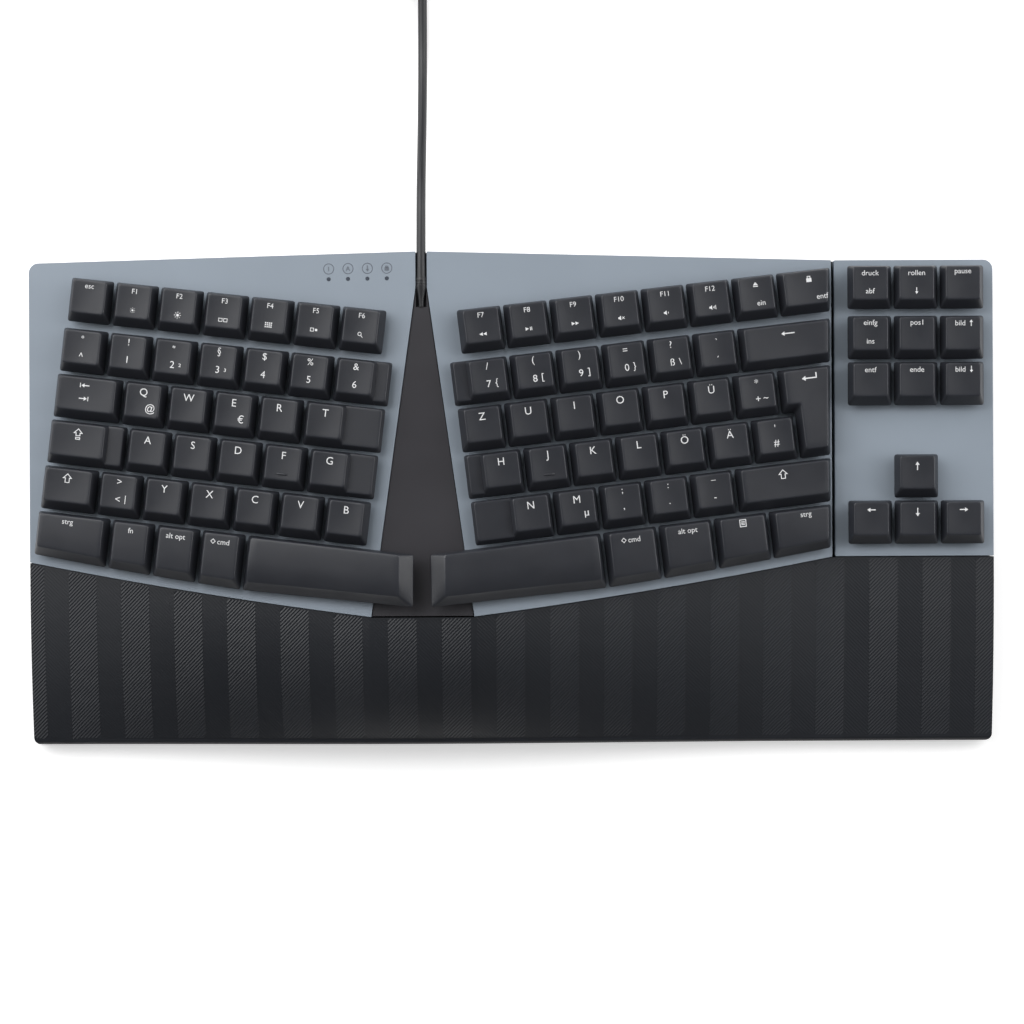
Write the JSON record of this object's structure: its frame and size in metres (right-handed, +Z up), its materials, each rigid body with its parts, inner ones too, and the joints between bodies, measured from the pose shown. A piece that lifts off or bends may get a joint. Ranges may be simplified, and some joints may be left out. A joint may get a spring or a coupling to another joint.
{
  "type": "ergonomic keyboard",
  "caption": "Tented full-size computer keyboard with two angled key fields, centre spine, navigation block, wide palm rest, tilt feet and a USB cable.",
  "frame": {"origin": "middle of the keyboard's footprint on the desk, without its cable", "axes": "+X to the right along the width, +Y to the rear, +Z up from the desk"},
  "size_m": [0.399, 0.3832, 0.0477],
  "materials": {
    "keycap": "satin dark grey",
    "deck": "satin blue-grey",
    "palm": "fine diagonal texture, near black",
    "spine": "satin dark grey",
    "case": "fine grain, near black",
    "switch": "moulded black",
    "board": "green solder resist",
    "chip": "moulded black",
    "light_pipe": "clear, unlit",
    "steel": "zinc plated",
    "rubber": "soft black",
    "cable": "satin black jacket",
    "tie": "woven black strap",
    "plug": "moulded black",
    "contact_shell": "nickel plated",
    "tongue": "moulded light grey"
  },
  "bodies": {
    "keyboard": {"bottom_case": "case", "palm_rest": "palm", "left_deck": "deck", "right_deck": "deck", "navigation_deck": "deck", "centre_spine": "spine", "left_switches": "switch", "right_switches": "switch", "navigation_switches": "switch", "light_pipes": "light_pipe", "circuit_boards": "board", "controller_chip": "chip", "case_screws": "steel", "rubber_feet": "rubber", "tilt_foot_pins": "steel", "strain_relief": "cable", "cable_lead": "cable", "cable_coil": "cable", "cable_tail": "cable", "cable_tie": "tie", "plug_grip": "plug", "plug_shell": "contact_shell", "plug_tongue": "tongue"},
    "key_escape": {"key_escape": "keycap"},
    "keys_function_left": {"keys_function_left": "keycap"},
    "keys_number_left": {"keys_number_left": "keycap"},
    "key_tab": {"key_tab": "keycap"},
    "keys_upper_left": {"keys_upper_left": "keycap"},
    "key_caps_lock": {"key_caps_lock": "keycap"},
    "keys_home_left": {"keys_home_left": "keycap"},
    "key_shift_left": {"key_shift_left": "keycap"},
    "keys_lower_left": {"keys_lower_left": "keycap"},
    "key_control_left": {"key_control_left": "keycap"},
    "key_fn": {"key_fn": "keycap"},
    "key_option_left": {"key_option_left": "keycap"},
    "key_command_left": {"key_command_left": "keycap"},
    "key_space_left": {"key_space_left": "keycap"},
    "keys_function_right": {"keys_function_right": "keycap"},
    "key_delete": {"key_delete": "keycap"},
    "keys_number_right": {"keys_number_right": "keycap"},
    "key_backspace": {"key_backspace": "keycap"},
    "keys_upper_right": {"keys_upper_right": "keycap"},
    "key_enter": {"key_enter": "keycap"},
    "keys_home_right": {"keys_home_right": "keycap"},
    "keys_lower_right": {"keys_lower_right": "keycap"},
    "key_shift_right": {"key_shift_right": "keycap"},
    "key_space_right": {"key_space_right": "keycap"},
    "key_command_right": {"key_command_right": "keycap"},
    "key_option_right": {"key_option_right": "keycap"},
    "key_menu": {"key_menu": "keycap"},
    "key_control_right": {"key_control_right": "keycap"},
    "keys_navigation_rear": {"keys_navigation_rear": "keycap"},
    "keys_navigation_middle": {"keys_navigation_middle": "keycap"},
    "keys_navigation_front": {"keys_navigation_front": "keycap"},
    "key_arrow_up": {"key_arrow_up": "keycap"},
    "key_arrow_left": {"key_arrow_left": "keycap"},
    "key_arrow_down": {"key_arrow_down": "keycap"},
    "key_arrow_right": {"key_arrow_right": "keycap"},
    "tilt_foot_left": {"tilt_foot_left": "case"},
    "tilt_foot_right": {"tilt_foot_right": "case"}
  },
  "joints": [
    {"name": "key_escape_press", "type": "slide", "parent": "keyboard", "child": "key_escape", "axis": [0.1392, 0, -0.9903], "range_m": [0, 0.003], "stiffness_N_per_m": 150, "springref_m": -0.002},
    {"name": "keys_function_left_press", "type": "slide", "parent": "keyboard", "child": "keys_function_left", "axis": [0.1392, 0, -0.9903], "range_m": [0, 0.003], "stiffness_N_per_m": 150, "springref_m": -0.002},
    {"name": "keys_number_left_press", "type": "slide", "parent": "keyboard", "child": "keys_number_left", "axis": [0.1392, 0, -0.9903], "range_m": [0, 0.003], "stiffness_N_per_m": 150, "springref_m": -0.002},
    {"name": "key_tab_press", "type": "slide", "parent": "keyboard", "child": "key_tab", "axis": [0.1392, 0, -0.9903], "range_m": [0, 0.003], "stiffness_N_per_m": 150, "springref_m": -0.002},
    {"name": "keys_upper_left_press", "type": "slide", "parent": "keyboard", "child": "keys_upper_left", "axis": [0.1392, 0, -0.9903], "range_m": [0, 0.003], "stiffness_N_per_m": 150, "springref_m": -0.002},
    {"name": "key_caps_lock_press", "type": "slide", "parent": "keyboard", "child": "key_caps_lock", "axis": [0.1392, 0, -0.9903], "range_m": [0, 0.003], "stiffness_N_per_m": 150, "springref_m": -0.002},
    {"name": "keys_home_left_press", "type": "slide", "parent": "keyboard", "child": "keys_home_left", "axis": [0.1392, 0, -0.9903], "range_m": [0, 0.003], "stiffness_N_per_m": 150, "springref_m": -0.002},
    {"name": "key_shift_left_press", "type": "slide", "parent": "keyboard", "child": "key_shift_left", "axis": [0.1392, 0, -0.9903], "range_m": [0, 0.003], "stiffness_N_per_m": 150, "springref_m": -0.002},
    {"name": "keys_lower_left_press", "type": "slide", "parent": "keyboard", "child": "keys_lower_left", "axis": [0.1392, 0, -0.9903], "range_m": [0, 0.003], "stiffness_N_per_m": 150, "springref_m": -0.002},
    {"name": "key_control_left_press", "type": "slide", "parent": "keyboard", "child": "key_control_left", "axis": [0.1392, 0, -0.9903], "range_m": [0, 0.003], "stiffness_N_per_m": 150, "springref_m": -0.002},
    {"name": "key_fn_press", "type": "slide", "parent": "keyboard", "child": "key_fn", "axis": [0.1392, 0, -0.9903], "range_m": [0, 0.003], "stiffness_N_per_m": 150, "springref_m": -0.002},
    {"name": "key_option_left_press", "type": "slide", "parent": "keyboard", "child": "key_option_left", "axis": [0.1392, 0, -0.9903], "range_m": [0, 0.003], "stiffness_N_per_m": 150, "springref_m": -0.002},
    {"name": "key_command_left_press", "type": "slide", "parent": "keyboard", "child": "key_command_left", "axis": [0.1392, 0, -0.9903], "range_m": [0, 0.003], "stiffness_N_per_m": 150, "springref_m": -0.002},
    {"name": "key_space_left_press", "type": "slide", "parent": "keyboard", "child": "key_space_left", "axis": [0.1392, 0, -0.9903], "range_m": [0, 0.003], "stiffness_N_per_m": 150, "springref_m": -0.002},
    {"name": "keys_function_right_press", "type": "slide", "parent": "keyboard", "child": "keys_function_right", "axis": [-0.1392, 0, -0.9903], "range_m": [0, 0.003], "stiffness_N_per_m": 150, "springref_m": -0.002},
    {"name": "key_delete_press", "type": "slide", "parent": "keyboard", "child": "key_delete", "axis": [-0.1392, 0, -0.9903], "range_m": [0, 0.003], "stiffness_N_per_m": 150, "springref_m": -0.002},
    {"name": "keys_number_right_press", "type": "slide", "parent": "keyboard", "child": "keys_number_right", "axis": [-0.1392, 0, -0.9903], "range_m": [0, 0.003], "stiffness_N_per_m": 150, "springref_m": -0.002},
    {"name": "key_backspace_press", "type": "slide", "parent": "keyboard", "child": "key_backspace", "axis": [-0.1392, 0, -0.9903], "range_m": [0, 0.003], "stiffness_N_per_m": 150, "springref_m": -0.002},
    {"name": "keys_upper_right_press", "type": "slide", "parent": "keyboard", "child": "keys_upper_right", "axis": [-0.1392, 0, -0.9903], "range_m": [0, 0.003], "stiffness_N_per_m": 150, "springref_m": -0.002},
    {"name": "key_enter_press", "type": "slide", "parent": "keyboard", "child": "key_enter", "axis": [-0.1392, 0, -0.9903], "range_m": [0, 0.003], "stiffness_N_per_m": 150, "springref_m": -0.002},
    {"name": "keys_home_right_press", "type": "slide", "parent": "keyboard", "child": "keys_home_right", "axis": [-0.1392, 0, -0.9903], "range_m": [0, 0.003], "stiffness_N_per_m": 150, "springref_m": -0.002},
    {"name": "keys_lower_right_press", "type": "slide", "parent": "keyboard", "child": "keys_lower_right", "axis": [-0.1392, 0, -0.9903], "range_m": [0, 0.003], "stiffness_N_per_m": 150, "springref_m": -0.002},
    {"name": "key_shift_right_press", "type": "slide", "parent": "keyboard", "child": "key_shift_right", "axis": [-0.1392, 0, -0.9903], "range_m": [0, 0.003], "stiffness_N_per_m": 150, "springref_m": -0.002},
    {"name": "key_space_right_press", "type": "slide", "parent": "keyboard", "child": "key_space_right", "axis": [-0.1392, 0, -0.9903], "range_m": [0, 0.003], "stiffness_N_per_m": 150, "springref_m": -0.002},
    {"name": "key_command_right_press", "type": "slide", "parent": "keyboard", "child": "key_command_right", "axis": [-0.1392, 0, -0.9903], "range_m": [0, 0.003], "stiffness_N_per_m": 150, "springref_m": -0.002},
    {"name": "key_option_right_press", "type": "slide", "parent": "keyboard", "child": "key_option_right", "axis": [-0.1392, 0, -0.9903], "range_m": [0, 0.003], "stiffness_N_per_m": 150, "springref_m": -0.002},
    {"name": "key_menu_press", "type": "slide", "parent": "keyboard", "child": "key_menu", "axis": [-0.1392, 0, -0.9903], "range_m": [0, 0.003], "stiffness_N_per_m": 150, "springref_m": -0.002},
    {"name": "key_control_right_press", "type": "slide", "parent": "keyboard", "child": "key_control_right", "axis": [-0.1392, 0, -0.9903], "range_m": [0, 0.003], "stiffness_N_per_m": 150, "springref_m": -0.002},
    {"name": "keys_navigation_rear_press", "type": "slide", "parent": "keyboard", "child": "keys_navigation_rear", "axis": [0, 0, -1], "range_m": [0, 0.003], "stiffness_N_per_m": 150, "springref_m": -0.002},
    {"name": "keys_navigation_middle_press", "type": "slide", "parent": "keyboard", "child": "keys_navigation_middle", "axis": [0, 0, -1], "range_m": [0, 0.003], "stiffness_N_per_m": 150, "springref_m": -0.002},
    {"name": "keys_navigation_front_press", "type": "slide", "parent": "keyboard", "child": "keys_navigation_front", "axis": [0, 0, -1], "range_m": [0, 0.003], "stiffness_N_per_m": 150, "springref_m": -0.002},
    {"name": "key_arrow_up_press", "type": "slide", "parent": "keyboard", "child": "key_arrow_up", "axis": [0, 0, -1], "range_m": [0, 0.003], "stiffness_N_per_m": 150, "springref_m": -0.002},
    {"name": "key_arrow_left_press", "type": "slide", "parent": "keyboard", "child": "key_arrow_left", "axis": [0, 0, -1], "range_m": [0, 0.003], "stiffness_N_per_m": 150, "springref_m": -0.002},
    {"name": "key_arrow_down_press", "type": "slide", "parent": "keyboard", "child": "key_arrow_down", "axis": [0, 0, -1], "range_m": [0, 0.003], "stiffness_N_per_m": 150, "springref_m": -0.002},
    {"name": "key_arrow_right_press", "type": "slide", "parent": "keyboard", "child": "key_arrow_right", "axis": [0, 0, -1], "range_m": [0, 0.003], "stiffness_N_per_m": 150, "springref_m": -0.002},
    {"name": "tilt_foot_left_fold", "type": "hinge", "parent": "keyboard", "child": "tilt_foot_left", "pos_m": [-0.14752, 0.09109, 0.0037], "axis": [1, 0, 0], "range_deg": [0, 88]},
    {"name": "tilt_foot_right_fold", "type": "hinge", "parent": "keyboard", "child": "tilt_foot_right", "pos_m": [0.14752, 0.09109, 0.0037], "axis": [1, 0, 0], "range_deg": [0, 88]}
  ]
}
